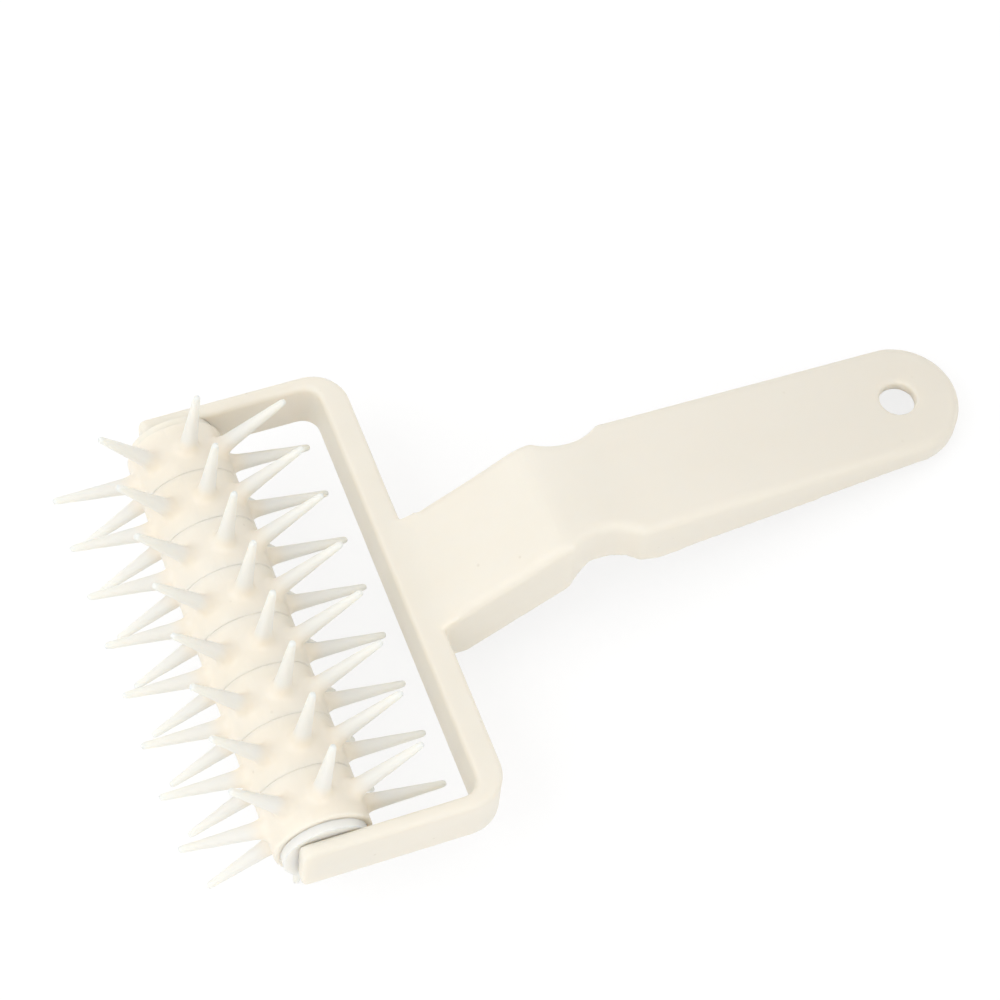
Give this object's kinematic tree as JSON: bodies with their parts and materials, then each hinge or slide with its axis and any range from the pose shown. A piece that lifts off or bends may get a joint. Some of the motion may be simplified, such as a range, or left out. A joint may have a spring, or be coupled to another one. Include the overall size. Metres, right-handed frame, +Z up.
{
  "type": "dough docker",
  "caption": "Roller dough docker in moulded plastic: a spiked roller turning freely in a U-shaped yoke, with a cranked neck and a flat tapering handle with a hanging hole.",
  "frame": {"origin": "bottom centre of the bounding box, with the tool lying on a table on two rows of pins and the end of its handle", "axes": "+X towards the handle's end, along the tool; +Y along the roller's axle, to the side of the far arm; +Z up from the table"},
  "size_m": [0.2044, 0.1202, 0.0593],
  "materials": {
    "ivory_plastic": "moulded, satin, cream white and slightly translucent",
    "pin_plastic": "moulded, satin, near white at the thin pins",
    "white_nylon": "plain white nylon, smooth"
  },
  "bodies": {
    "frame": {"yoke": "ivory_plastic", "handle": "ivory_plastic", "axle": "white_nylon", "washer_near": "white_nylon", "washer_far": "ivory_plastic"},
    "roller": {"hub_1": "ivory_plastic", "hub_2": "ivory_plastic", "hub_3": "ivory_plastic", "hub_4": "ivory_plastic", "hub_5": "ivory_plastic", "hub_6": "ivory_plastic", "hub_7": "ivory_plastic", "hub_8": "ivory_plastic", "pins_1": "pin_plastic", "pins_2": "pin_plastic", "pins_3": "pin_plastic", "pins_4": "pin_plastic", "pins_5": "pin_plastic", "pins_6": "pin_plastic", "pins_7": "pin_plastic", "pins_8": "pin_plastic"}
  },
  "joints": [
    {"name": "roller_spin", "type": "hinge", "parent": "frame", "child": "roller", "pos_m": [-0.07259, 0, 0.02963], "axis": [0, 1, 0], "continuous": true}
  ]
}
